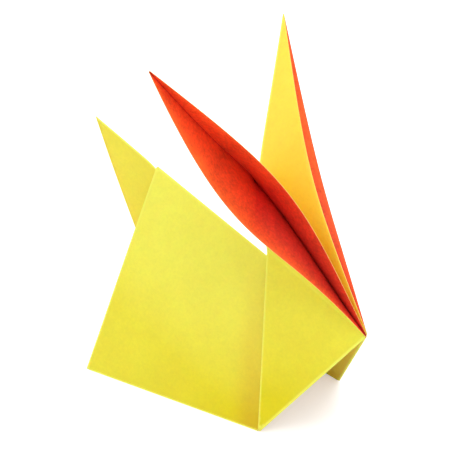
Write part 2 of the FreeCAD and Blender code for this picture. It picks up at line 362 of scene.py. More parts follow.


# %% [markdown]
# ## The body
#
# Each side of the body is two layers: the outer one, and the flap of the kite base
# folded in behind it.  The fold between them is the edge that the rabbit stands on.
# The yellow is painted palest high at the rump and deepest low at the front foot: painted
# shade, darker towards the bottom and the front.  Behind the head's rear edge a soft,
# darker band of painted shade lies on the body.

# %% Body side and flap
BODY_BELLY = 1.3
# Painted light: the flap's inner face is tinted orange, as light shining through the sheet
# warms it.
FLAP_TINT = 0.5
# Painted shade on the outer side: deeper yellow low down and towards the front, and a
# darker, warmer band behind the head's rear edge.
LOW_DEPTH = 0.6
AHEAD_DEPTHS = (0.15, 0.45)    # on the back line, and what is added at the feet
SHADE_BAND_BEHIND = 2.0           # distance from the head's rear edge
SHADE_BAND_REACH = 4.5            # and how far the band fades on both sides
SHADE_BAND_TINT = 0.3

foot = (FRONT_FOOT * cos(KITE_ANGLE), FRONT_FOOT * sin(KITE_ANGLE))
heel = (BACK_FOOT * cos(KITE_ANGLE), BACK_FOOT * sin(KITE_ANGLE))
foot_low = between(foot, heel, CORNER_CUT)
foot_front = between(foot, (NOSE, 0), CORNER_CUT)
heel_fold = between(heel, foot, 4 * PITCH)
ridge_down = RIDGE_RADIUS / tan(SIDE_SPREAD)

low_corners = dict(heel_fold=heel_fold, foot_low=foot_low, foot_front=foot_front)
outer = {name: spot(*corner) for name, corner in low_corners.items()}
outer.update(nose=spot(NOSE, 0), rump=spot(BACK_TOP, ridge_down), heel=spot(*heel))
flap = {name: spot(*corner, -PITCH) for name, corner in low_corners.items()}
flap.update(nose=spot(*between((NOSE, 0), foot, NOSE_INSET), -PITCH),
            rump=spot(BACK_TOP - FLAP_SHORT, FLAP_INSET, -PITCH))


def low_share(place):
    """0 at the back line, 1 at the height of the feet."""
    return min(1.0, max(0.0, place.dot(SIDE_DOWN) / foot[1]))


def body_depth(place):
    """Painted shade: how much deeper the yellow of a side is painted, from the rump's top
    to the front foot.
    """
    ahead = min(1.0, (heel[0] + place.dot(BACK_LINE)) / (heel[0] - foot[0]))
    low = low_share(place)
    return LOW_DEPTH * low ** 3 + ahead ** 2 * (AHEAD_DEPTHS[0] + AHEAD_DEPTHS[1] * low)


def painted_shade_band(place):
    """Painted shade: a soft darker band behind the head's rear edge, strongest at the
    front foot.
    """
    low_end = spot(*foot)
    edge = (spot(CREST, -CREST_RISE) - low_end).normalized()
    behind = (place - low_end).cross(edge).length
    return low_share(place) * exp(-((behind - SHADE_BAND_BEHIND) / SHADE_BAND_REACH) ** 2)


outer_back = straight(outer["nose"], outer["rump"])
outer_rump = straight(outer["rump"], outer["heel"])
outer_ground = straight(outer["heel_fold"], outer["foot_low"])
outer_chin = straight(outer["foot_front"], outer["nose"])
flap_ground = straight(flap["heel_fold"], flap["foot_low"], len(outer_ground) - 1)
flap_chin = straight(flap["foot_front"], flap["nose"], len(outer_chin) - 1)

flat_panel([(outer_back, "fold"), (outer_rump, "fold"),
            ([outer["heel"], outer["heel_fold"]], "cut"), (outer_ground, "fold"),
            ([outer["foot_low"], outer["foot_front"]], "fold"), (outer_chin, "fold")],
           belly=BODY_BELLY, deep=body_depth, shelter=painted_shade_band,
           yellow_tint=lambda place: SHADE_BAND_TINT * painted_shade_band(place))
flat_panel([(straight(flap["nose"], flap["rump"]), "cut"),
            (straight(flap["rump"], flap["heel_fold"]), "cut"), (flap_ground, "fold"),
            ([flap["foot_low"], flap["foot_front"]], "fold"), (flap_chin, "fold")],
           belly=BODY_BELLY, yellow_tint=FLAP_TINT)
fold(outer_ground, flap_ground, in_side(-sin(KITE_ANGLE), cos(KITE_ANGLE)))
print("body side and flap:", len(sheet.points), "points")

# %% [markdown]
# The back is the sheet's middle fold.  Only half of it is made, because the other half
# comes with the mirror, so it is an arc from the side up to the mirror plane.  It is
# sharp at the nose and opens towards the rump, where the pleat's layers lie inside.


# %% The rounded back
BACK_STEPS = 4


def back_arc(point, radius):
    """Arc from the side's top edge up to the mirror plane."""
    turn = pi / 2 - SIDE_SPREAD
    centre = point - SIDE_OUT * radius
    arc = [centre + (SIDE_OUT * sin(turn * (1 - t)) + BACK_UP * sin(turn * t))
           * (radius / sin(turn)) for t in (i / BACK_STEPS for i in range(BACK_STEPS + 1))]
    arc[0], arc[-1] = point, Vector((arc[-1].x, 0, arc[-1].z))
    return arc


creased_strip([back_arc(p, RIDGE_RADIUS * i / (len(outer_back) - 1))
               for i, p in enumerate(outer_back)])
print("with the back:", len(sheet.points), "points")

# %% [markdown]
# ## Rump and tail
#
# Two folds across the doubled sheet make a pleat.  The first turns the paper in at the
# rump, the second turns it out again, and the corner that is left is the tail.  It is
# held by the pleat alone, so its point droops a little, its foot slips forwards, its raw
# edge bows, and its spine springs up as soon as it leaves the rump.

# %% Rump panel and tail
# Painted light: the tail is tinted and its yellow deepened, the warmer colour of light
# shining through it.
TAIL_TINT = 0.1
TAIL_DEPTH = 0.35
TAIL_DROOP = Vector((-0.8, 0, -0.3))    # how the point, the foot and the raw edge
TAIL_SLIP = Vector((1.6, 0, 0))         # leave their places
TAIL_BOW = Vector((-0.9, 0, 0))
TAIL_LIFT = 0.6                         # rise of the spine, soon after the rump
TAIL_LIFT_REACH = 2.0
TAIL_BELLY = 0.25

# the rump's inner layers meet this far down its edge, and so far below the back
tuck = (2 * PITCH * cos(SIDE_SPREAD) + 1.5 * PITCH) / sin(SIDE_SPREAD)
tuck_depth = tuck * cos(SIDE_SPREAD) + 2 * PITCH * sin(SIDE_SPREAD)
pleat_u = BACK_TOP - PLEAT
pleat_top = tuck_depth * (1 + PLEAT / TAIL_LENGTH)
pleat_low = (TAIL_LENGTH + PLEAT) * tan(TAIL_ANGLE)

rump_top = spot(*between((BACK_TOP, 0), heel, tuck), -2 * PITCH)
rump_low = spot(*heel, -2 * PITCH)
pleat_foot = in_middle(pleat_u, pleat_low, TAIL_SPREAD + PITCH) + TAIL_SLIP
pleat_head = in_middle(pleat_u, pleat_top, 1.5 * PITCH)
tail_head = in_middle(pleat_u, pleat_top, PITCH / 2)
tail_foot = in_middle(pleat_u, pleat_low, TAIL_SPREAD) + TAIL_SLIP
tail_tip = in_middle(BACK_TOP + TAIL_LENGTH, 0, PITCH / 2) + TAIL_DROOP

inner_rump = straight(rump_top, rump_low, len(outer_rump) - 1)
inner_pleat = straight(pleat_head, pleat_foot)
tail_pleat = straight(tail_head, tail_foot, len(inner_pleat) - 1)
rump_spine = straight(rump_top, pleat_head)
tail_spine = straight(tail_head, tail_tip)
for p in tail_spine:
    behind = -p.dot(BACK_LINE) - BACK_TOP
    if behind > 0:
        p += BACK_UP * (TAIL_LIFT * max(0.0, 1 - behind / TAIL_LENGTH)
                        * (1 - exp(-behind / TAIL_LIFT_REACH)))
tail_cut = straight(tail_foot, tail_tip)
for i, p in enumerate(tail_cut):
    t = i / (len(tail_cut) - 1)
    p += TAIL_BOW * (t * sin(pi * t))
rump_bend = straight(rump_top, pleat_foot)

flat_panel([(inner_rump, "fold"), (straight(rump_low, pleat_foot), "cut"),
            (rump_bend[::-1], "plain")])
flat_panel([(rump_bend, "plain"), (inner_pleat[::-1], "fold"),
            (rump_spine[::-1], "fold")])
flat_panel([(tail_pleat, "fold"), (tail_cut, "cut"),
            (tail_spine[::-1], "fold")],
           belly=TAIL_BELLY, towards=OUTWARD, yellow_tint=TAIL_TINT, deep=TAIL_DEPTH)
fold(outer_rump, inner_rump, in_side(heel[1], BACK_TOP - heel[0]))
fold(inner_pleat, tail_pleat, BACK_LINE)
ridge(rump_spine)
ridge(tail_spine)
print("with rump and tail:", len(sheet.points), "points")

# %% [markdown]
# ## The head
#
# The slit tip is folded up over the outside of the body along the chin.  Its two
# layers lie on each other with the fold at the back of the head, which stands a
# little off the body, as sprung paper does.


# %% Head panels
CHEEK_STEPS = 40
HEAD_BELLY = 0.8
HEAD_DEPTH = 0.3


def head_depth(place):
    """The head lies on the body; its yellow gets the body's painted shade and a little
    more.
    """
    return body_depth(place) + HEAD_DEPTH


def head_panel(level, body_chin):
    """One layer of the head with the chin fold that joins it to the body."""
    low = spot(*foot, level)
    nose = spot(NOSE, 0, level)
    crest = spot(CREST, -CREST_RISE, level + HEAD_LIFT)
    front = low + (nose - low).normalized() * CORNER_CUT
    back = low + (crest - low).normalized() * CORNER_CUT
    chin = straight(front, nose, len(body_chin) - 1)
    rear = straight(back, crest)
    top = straight(nose, crest, CHEEK_STEPS)
    flat_panel([(chin, "fold"), (top, "plain"), (rear[::-1], "fold"),
                ([back, front], "fold")], belly=HEAD_BELLY, deep=head_depth)
    fold(body_chin, chin, in_side(-foot[1], foot[0] - NOSE))
    return dict(low=low, nose=nose, crest=crest, rear=rear, top=top)


head_in = head_panel(PITCH, outer_chin)
head_out = head_panel(2 * PITCH, flap_chin)
head_mid = {name: (head_in[name] + head_out[name]) / 2
            for name in ("low", "nose", "crest")}
head_edge = (head_mid["crest"] - head_mid["low"]).normalized()
to_foot = head_mid["low"] - head_mid["nose"]
head_bulge = to_foot - head_edge * to_foot.dot(head_edge)
fold(head_in["rear"], head_out["rear"], head_bulge)
print("with the head:", len(sheet.points), "points")

# %% [markdown]
# ## The ears
#
# Above the head the two layers part.  The inner wing stays beside the mirror plane,
# and the outer one turns down over the head as a lapel.  Both run from the nose to the
# ear's tip, so the ear is drawn with a few free curves in its own directions: along it,
# outwards and forwards.

# %% Curves of an ear
EAR_RISE = radians(55.1)
EAR_SPLAY = radians(17.4)
EAR_CHORD = 83.1
EAR_BLUNT = 0.2
TIP_BLUNT = 0.12
NOSE_STEP = 0.35
GROOVE_END = 0.42                 # share of the crease that is shut
EAR_AIR = 0.3                     # between the two layers above the groove
# How far each curve is pulled along, aside and ahead, from the nose and from the tip
LAPEL_PULLS = ((37.9, 0.7, -1.7), (-48.3, 7.7, -9.7))
INNER_PULLS = ((37.9, -9.3, 3.3), (-42.7, -9.9, 3.6))
CREST_PULL = 29.6
CREASE_TIP_PULL = (-50.9, -15.3, -14.2)
GROOVE_PULLS = ((-11.9, 9.9), (13.0, -8.5))    # in the mirror plane, from both ends
WING_STEPS = 14

ALONG = Vector((-cos(EAR_RISE) * cos(EAR_SPLAY), -sin(EAR_SPLAY),
                sin(EAR_RISE) * cos(EAR_SPLAY)))
ASIDE = (OUTWARD - ALONG * OUTWARD.dot(ALONG)).normalized()
AHEAD = ALONG.cross(ASIDE)


def pulled(point, pull):
    """A point moved in the ear's own directions."""
    return point + ALONG * pull[0] + ASIDE * pull[1] + AHEAD * pull[2]


def cut_curve(points, share):
    """Cut a cubic curve in two at a share of its parameter."""
    a, b, c, d = points
    ab, bc, cd = a.lerp(b, share), b.lerp(c, share), c.lerp(d, share)
    abc, bcd = ab.lerp(bc, share), bc.lerp(cd, share)
    middle = abc.lerp(bcd, share)
    return [a, ab, abc, middle], [middle, bcd, cd, d]


ear_tip = spot(NOSE, 0) + ALONG * EAR_CHORD
crest_run = head_mid["crest"] - head_mid["nose"]
nose_front = Vector((crest_run.z, 0, -crest_run.x)).normalized()
groove_start = head_mid["nose"] + nose_front * NOSE_STEP
crest_up = Vector((head_edge.x, 0, head_edge.z)).normalized()
crease = [head_mid["crest"], head_mid["crest"] + crest_up * CREST_PULL,
          pulled(ear_tip, CREASE_TIP_PULL), ear_tip]
shut_crease, open_crease = cut_curve(crease, GROOVE_END)
groove_top = shut_crease[3]
groove = [groove_start, groove_start + Vector((GROOVE_PULLS[0][0], 0, GROOVE_PULLS[0][1])),
          groove_top + Vector((GROOVE_PULLS[1][0], 0, GROOVE_PULLS[1][1])), groove_top]


def free_edge(pulls, lean):
    """Lower and upper half of a free edge, from the nose to the ear's tip."""
    return cut_curve([groove_start + lean * EAR_BLUNT, pulled(spot(NOSE, 0), pulls[0]),
                      pulled(ear_tip, pulls[1]), ear_tip + lean * TIP_BLUNT], 0.5)


lapel_low, lapel_high = free_edge(LAPEL_PULLS, ASIDE)
inner_low, inner_high = free_edge(INNER_PULLS, AHEAD)
across_low = [(a - b).normalized() for a, b in zip(lapel_low, inner_low)]
across_high = [(a - b).normalized() for a, b in zip(lapel_high, inner_high)]
across_top = across_high[0] * EAR_AIR
across_closed = [SIDE_OUT * PITCH, OUTWARD * PITCH, OUTWARD * EAR_AIR, across_top]


def smooth_curve(points, steps=(Vector(),) * 4, share=1.0):
    """Points of a cubic curve whose control points are moved by a share of steps."""
    a, b, c, d = [p + step * share for p, step in zip(points, steps)]
    return interpolate_bezier(a, b, c, d, CHEEK_STEPS + 1)


# %% [markdown]
# ### Rolled wings
#
# A wing drawn with straight lines from the crease to its edge looks like a folded
# plank.  Real wings roll: they leave the crease steeply, close to each other, and turn
# outwards towards the edge.  So each line across a wing gets a sag towards the other
# wing, in proportion to its length.
#
# A wing is a single layer, so light shines through it, and that light is painted into
# its colour: its yellow side turns orange towards the nose, where red faces red inside,
# and its red side turns orange towards the free edge and the ear's tip.  The groove
# between the wings is darkened with painted shade.


# %% Panels of an ear
NOSE_OPENING = radians(4)
TOP_OPENING = radians(12)
TIP_OPENING = radians(80)
EAR_TINTS = (0.6, 0.4, 0.35, 0.12)    # nose, below and above the groove's top, tip
LAPEL_TINT = 0.5                       # the lapel's yellow side gets this share of them
LAPEL_RIM = (4, 1.0)                   # power and size of the red side's tint
INNER_RIM = (2, 0.35)
TIP_TINT = 0.5
# Painted shade in the groove between the wings: from the nose to the groove's top, and
# from there to the tip
GROOVE_PAINTED_SHADE = (1.0, 0.1)
OPEN_PAINTED_SHADE = (0.1, 0.0)


def ramp(ends, share):
    """Value between two ends."""
    return ends[0] + (ends[1] - ends[0]) * share


def wing(inner, outer, other, openings, tints, shelters, rim):
    """Wing between two lines of points, rolled towards the other wing's edge.

    The openings are the angles between the two wings at the crease, at both ends.
    Rim gives the red side's tint: the power of its rise from the crease to the edge, its
    size there, and what the whole wing gets at the ear's tip.
    """
    points = []
    marks = {name: [] for name in MARKS}
    rows = len(inner)
    for i, (near, edge, facing) in enumerate(zip(inner, outer, other)):
        across = edge - near
        way = across.normalized()
        share = i / (rows - 1)
        opening = ramp(openings, share)
        turn = max(0.0, across.angle(facing - near, 0.0) - opening) / 2
        sag = facing - edge
        sag = (sag - way * sag.dot(way)).normalized() * (across.length * tan(turn))
        for j in range(WING_STEPS + 1):
            t = j / WING_STEPS
            points.append(near + across * t + sag * (t * (1 - t) ** 2))
            marks["yellow_tint"].append(ramp(tints, share))
            marks["red_tint"].append(rim[1] * t ** rim[0] + rim[2] * sqrt(share))
            # painted shade, strongest at the crease
            marks["shelter"].append((1 - t) ** 2 * ramp(shelters, share))
    columns = WING_STEPS + 1
    sheet.add(points, grid_faces(rows, columns),
              [(points[::columns], "fold"), (points[WING_STEPS::columns], "cut")], marks)


def ear_layer(head, sign, low_edge, high_edge, other_low, other_high):
    """Cheek and wings of one layer, sign 1 for the lapel and -1 for the inner wing."""
    share = sign / 2
    groove_line = smooth_curve(groove, across_closed, share)
    shut_steps = [head["crest"] - head_mid["crest"]]
    shut_steps += [step * share for step in across_closed[1:]]
    shut_line = smooth_curve(shut_crease, shut_steps)
    low_line = smooth_curve(low_edge, across_low, share * PITCH)
    open_line = smooth_curve(open_crease, across_high, share * EAR_AIR)
    high_line = smooth_curve(high_edge, across_high, share * PITCH)
    open_line[0] = groove_line[-1]
    high_line[0] = low_line[-1]
    shut_line[0], shut_line[-1] = head["crest"], groove_line[-1]
    nose_side = straight(head["nose"], groove_line[0], CHEEK_STEPS)
    curved_panel(head["top"], groove_line, nose_side, shut_line,
                 ("plain", "fold", "cut", "fold"), deep=head_depth)
    tints = [tint * (1.0 if sign < 0 else LAPEL_TINT) for tint in EAR_TINTS]
    rim = INNER_RIM if sign < 0 else LAPEL_RIM
    wing(groove_line, low_line, smooth_curve(other_low),
         (NOSE_OPENING, TOP_OPENING), tints[:2], GROOVE_PAINTED_SHADE, (*rim, 0.0))
    wing(open_line, high_line, smooth_curve(other_high),
         (TOP_OPENING, TIP_OPENING), tints[2:], OPEN_PAINTED_SHADE, (*rim, TIP_TINT))
    return shut_line, open_line


shut_inner, open_inner = ear_layer(head_in, -1, inner_low, inner_high,
                                   lapel_low, lapel_high)
shut_lapel, open_lapel = ear_layer(head_out, 1, lapel_low, lapel_high,
                                   inner_low, inner_high)
groove_bulge = (groove_top - (lapel_low[3] + inner_low[3]) / 2).normalized()
head_bulge.normalize()
shares = [i / CHEEK_STEPS for i in range(CHEEK_STEPS + 1)]
# The folds along the crease get painted shade: full in the shut groove, little in the open
# part.
fold(shut_inner, shut_lapel, [head_bulge.lerp(groove_bulge, share) for share in shares],
     [1.0] * len(shares))
fold(open_inner, open_lapel, [groove_bulge.lerp(-AHEAD, share) for share in shares],
     [ramp(OPEN_PAINTED_SHADE, share) for share in shares])
print("half sheet:", len(sheet.points), "points and", len(sheet.faces), "faces")

# %% [markdown]
# ## From surface to paper
#
# The half sheet becomes a mesh whose faces all show their yellow side.  A Geometry
# Nodes tree then follows one rule for the whole sheet: mirror the half, and give the
# surface the paper's thickness, with one material for each side and one for the cut
# edges.  The rule lives in a tree, so the paper's thickness can be changed in one place.
#
# Here the points get the frame's units and its place: the nose touches the front of the
# CAD model's box, and the lowest edge stands on the ground.

# %% The half sheet as a mesh
import bmesh

mesh = bpy.data.meshes.new("folded_paper")
ground = min(p.z for p in sheet.points)
box_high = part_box("folded_sheet")[1]
front = max(p.x for p in sheet.points)
shift = Vector((box_high.x / MM - front - PAPER / 2, 0, PAPER / 2 - ground))
mesh.from_pydata([(p + shift) * MM for p in sheet.points], [], sheet.faces)
for name, values in (*sheet.distances.items(), *sheet.marks.items()):
    layer = mesh.attributes.new(name, "FLOAT", "POINT")
    layer.data.foreach_set("value", values)
work = bmesh.new()
work.from_mesh(mesh)
bmesh.ops.recalc_face_normals(work, faces=work.faces)
work.faces.ensure_lookup_table()
if work.faces[0].normal.dot(SIDE_OUT) < 0:
    bmesh.ops.reverse_faces(work, faces=work.faces)
crowded = [e for e in work.edges if len(e.link_faces) > 2]
print("edges with more than two faces:", len(crowded))
work.to_mesh(mesh)
work.free()
mesh.shade_smooth()


def put_in_scene(name, data):
    """A new object with this mesh, camera or lamp."""
    thing = bpy.data.objects.new(name, data)
    bpy.context.scene.collection.objects.link(thing)
    return thing


folded_paper = put_in_scene("folded_paper", mesh)

# %% [markdown]
# ## Colours
#
# Blender mixes light in linear values, while a dye is easier to name by how it looks on
# a screen.  One small function turns the second into the first.  A single layer with
# light behind it looks warmer, so the yellow and the red have a tint each.


# %% Colours
def linear(red, green, blue):
    """A colour given as screen values from 0 to 255."""
    return tuple((v / 255 / 12.92) if v < 10.3 else ((v / 255 + 0.055) / 1.055) ** 2.4
                 for v in (red, green, blue)) + (1.0,)


YELLOW = linear(250, 230, 84)
# painted shade on the body and head; on the tail, the deeper yellow of light shining
# through
PAINTED_DEEP_YELLOW = linear(229, 208, 8)
ORANGE = linear(255, 180, 36)       # tint of the yellow side
RED = linear(202, 35, 22)
RED_RIM = linear(255, 100, 34)      # tint of the red side
CORE = linear(255, 243, 190)        # undyed fibres
# the yellow side's bright crease and edge colour: partly wear, partly painted highlight
YELLOW_WEAR_HIGHLIGHT = linear(255, 240, 100)
RED_CORE = linear(255, 190, 110)
CUT_DYE = linear(255, 190, 90)
FLOOR = linear(238, 238, 238)
print("yellow in linear values:", [round(v, 3) for v in YELLOW[:3]])

# %% [markdown]
# ## The finish of dyed paper
#
# Origami paper is printed on one side or both, over pale fibres.  The colour is a
# little uneven, the fibres give a fine tooth, and along creases and cut edges the dye
# breaks and the pale core shows; on the yellow side that line is a bright yellow, partly
# wear and partly painted highlight.  The group also paints shade: it darkens the colour
# where the mesh carries painted shade, and blends in a deeper painted yellow.  All three
# materials share this, so it is one node group that is placed in each with its own
# colours.


# %% Shared node group
CLOUD = (90, 3, 0.5)       # scale, detail and roughness of each noise
TOOTH = (1400, 3, 0.6)
FIBRE = (420, 4, 0.7)
TONE_SHARES = (0.3, 0.4, 0.3)       # of cloud, tooth and fibre in the colour
HEIGHT_SHARES = (0.4, 0.6)          # of tooth and fibre in the relief
RAGGED = 0.8                        # how ragged the tooth makes the worn lines
ROUGHNESS = (0.56, 0.12)            # least roughness, and what the tooth adds


def add_sockets(tree, in_out, kind, *names):
    """Named inputs or outputs of a node group."""
    for name in names:
        tree.interface.new_socket(name, in_out=in_out, socket_type="NodeSocket" + kind)


def set_inputs(node, **settings):
    """Fixed values for sockets, whose names are written with underscores."""
    for name, setting in settings.items():
        node.inputs[name.replace("_", " ")].default_value = setting


def value(tree, operation, *inputs):
    """A Math node; inputs are numbers or sockets."""
    node = tree.nodes.new("ShaderNodeMath")
    node.operation = operation
    for socket, given in zip(node.inputs, inputs):
        if isinstance(given, (int, float)):
            socket.default_value = given
        else:
            tree.links.new(given, socket)
    return node.outputs[0]


def attribute(tree, name):
    """A number that the mesh carries under a name."""
    node = tree.nodes.new("ShaderNodeAttribute")
    node.attribute_name = name
    return node.outputs["Fac"]


def scaled(tree, vector, factor):
    """A vector or colour multiplied by a number."""
    node = tree.nodes.new("ShaderNodeVectorMath")
    node.operation = "SCALE"
    tree.links.new(vector, node.inputs[0])
    tree.links.new(factor, node.inputs["Scale"])
    return node.outputs[0]


def blend_colours(tree, share, first, second):
    """The first colour where the share is 0, the second where it is 1."""
    node = tree.nodes.new("ShaderNodeMix")
    node.data_type = "RGBA"
    tree.links.new(share, node.inputs["Factor"])
    tree.links.new(first, node.inputs[6])
    tree.links.new(second, node.inputs[7])
    return node.outputs[2]


def paper_group():
    """Colour of dyed paper with its painted shade and highlight, and its height and
    roughness.
    """
    tree = bpy.data.node_groups.new("dyed_paper", "ShaderNodeTree")
    add_sockets(tree, "INPUT", "Color", "Dye", "Tint", "Deep Dye", "Core")
    add_sockets(tree, "INPUT", "Float", "Tint Amount", "Shelter", "Unevenness",
                "Crease Wear", "Crease Width", "Edge Wear", "Edge Width")
    add_sockets(tree, "OUTPUT", "Color", "Color")
    add_sockets(tree, "OUTPUT", "Float", "Height", "Roughness")
    nodes, links = tree.nodes, tree.links
    made = nodes.new("NodeGroupOutput")
    given = nodes.new("NodeGroupInput").outputs
    place = nodes.new("ShaderNodeTexCoord").outputs["Object"]

    def noise(scale, detail, roughness):
        """Cloudy values from 0 to 1."""
        node = nodes.new("ShaderNodeTexNoise")
        set_inputs(node, Scale=scale, Detail=detail, Roughness=roughness)
        links.new(place, node.inputs["Vector"])
        return node.outputs["Fac"]

    cloud, tooth, fibre = noise(*CLOUD), noise(*TOOTH), noise(*FIBRE)
    fine = value(tree, "MULTIPLY_ADD", tooth, TONE_SHARES[1],
                 value(tree, "MULTIPLY", fibre, TONE_SHARES[2]))
    tone = value(tree, "MULTIPLY_ADD", cloud, TONE_SHARES[0], fine)
    tone = value(tree, "MULTIPLY_ADD", value(tree, "SUBTRACT", tone, 0.5),
                 given["Unevenness"], 1.0)
    # Painted shade: the shade mark darkens the tone.
    depth = value(tree, "MULTIPLY", attribute(tree, "shelter"), given["Shelter"])
    tone = value(tree, "MULTIPLY", tone, value(tree, "SUBTRACT", 1.0, depth))
    painted_deepening = blend_colours(tree, attribute(tree, "deep"), given["Dye"], given["Deep Dye"])
    tinted = blend_colours(tree, given["Tint Amount"], painted_deepening, given["Tint"])
    shaded = scaled(tree, tinted, tone)

    def wear(name, width, strength):
        """Share of the wear-and-highlight colour that shows, from the distance to a crease
        or a cut.
        """
        reach = value(tree, "DIVIDE", attribute(tree, name), width)
        ragged = value(tree, "MULTIPLY_ADD", tooth, RAGGED, -RAGGED / 2)
        near = value(tree, "SUBTRACT", value(tree, "SUBTRACT", 1.0, reach), ragged)
        share = value(tree, "MULTIPLY", near, strength)
        nodes[-1].use_clamp = True
        return share

    worn = value(tree, "MAXIMUM",
                 wear("fold", given["Crease Width"], given["Crease Wear"]),
                 wear("cut", given["Edge Width"], given["Edge Wear"]))
    height = value(tree, "MULTIPLY_ADD", fibre, HEIGHT_SHARES[1],
                   value(tree, "MULTIPLY", tooth, HEIGHT_SHARES[0]))
    roughness = value(tree, "MULTIPLY_ADD", tooth, ROUGHNESS[1], ROUGHNESS[0])
    links.new(blend_colours(tree, worn, shaded, given["Core"]), made.inputs["Color"])
    links.new(height, made.inputs["Height"])
    links.new(roughness, made.inputs["Roughness"])
    return tree


dyed_paper = paper_group()
print("dyed_paper has", len(dyed_paper.nodes), "nodes")

# %% [markdown]
# ## Three papers
#
# The yellow side, the red side and the cut edge are one paper, so each is the same
# group in a Principled shader, with its own dye and its own wear.  The fibres lie less
# than a tenth of a millimetre deep, which a bump can show.  Paper also lets light in and
# gives some of it back nearby: that is a little subsurface scattering.


# %% Materials
CREASE_WIDTH = 0.5    # millimetres of wear beside a crease and a cut edge
EDGE_WIDTH = 0.25
BUMP_STRENGTH = 0.25
FIBRE_DEPTH = 0.06 * MM
GLOW_REACH = 0.3 * MM
GLOW_COLOURS = (1.0, 0.45, 0.15)    # red light goes furthest
SHEEN = 0.3


def paper_material(name, dye, wear_highlight, wear, unevenness, glow, tint=None, shelter=0.0,
                   painted_deep_colour=None):
    """Paper in one dye; tint is a colour and the name of the mark that carries it."""
    material = bpy.data.materials.new(name)
    material.use_nodes = True
    nodes, links = material.node_tree.nodes, material.node_tree.links
    shader = nodes["Principled BSDF"]
    group = nodes.new("ShaderNodeGroup")
    group.node_tree = dyed_paper
    # The painted shade mark darkens this side by the given amount, and the painted deep
    # colour replaces the dye where the deep mark asks.
    set_inputs(group, Dye=dye, Core=wear_highlight, Unevenness=unevenness, Shelter=shelter,
               Deep_Dye=painted_deep_colour or dye, Crease_Wear=wear, Edge_Wear=wear,
               Crease_Width=CREASE_WIDTH, Edge_Width=EDGE_WIDTH)
    if tint:
        set_inputs(group, Tint=tint[0])
        links.new(attribute(material.node_tree, tint[1]), group.inputs["Tint Amount"])
    bump = nodes.new("ShaderNodeBump")
    set_inputs(bump, Strength=BUMP_STRENGTH, Distance=FIBRE_DEPTH)
    links.new(group.outputs["Color"], shader.inputs["Base Color"])
    links.new(group.outputs["Roughness"], shader.inputs["Roughness"])
    links.new(group.outputs["Height"], bump.inputs["Height"])
    links.new(bump.outputs["Normal"], shader.inputs["Normal"])
    set_inputs(shader, Specular_IOR_Level=SHEEN, Subsurface_Weight=glow,
               Subsurface_Radius=GLOW_COLOURS, Subsurface_Scale=GLOW_REACH)
    return material


# Both sides carry painted shade in grooves and behind the head; the yellow side also gets
# the deeper painted yellow, and its bright crease and edge colour is partly wear, partly
# painted highlight.
yellow_side = paper_material("paper_yellow_side", YELLOW, YELLOW_WEAR_HIGHLIGHT, wear=1.0,
                             unevenness=0.4, glow=0.6, tint=(ORANGE, "yellow_tint"),
                             shelter=0.2, painted_deep_colour=PAINTED_DEEP_YELLOW)
red_side = paper_material("paper_red_side", RED, RED_CORE, wear=0.0, unevenness=2.2,
                          glow=0.5, tint=(RED_RIM, "red_tint"), shelter=0.7)
cut_edge = paper_material("paper_cut_edge", CUT_DYE, CORE, wear=0.2, unevenness=0.2,
                          glow=0.6)
print("materials:", [m.name for m in (yellow_side, red_side, cut_edge)])

# %% [markdown]
# ## Geometry Nodes: mirror and thicken
#
# The tree captures the surface's normals before anything is moved.  One copy is
# extruded in place, which makes the rim along the cut edges, and its top is moved half
# a thickness along the normals.  A flipped copy, moved the other way, is the other
# side.  Merging the two closes the sheet.


# %% The tree
SAME_PLACE = 1e-6    # metres
SIDES = ("First Side", "Second Side", "Cut Edge")


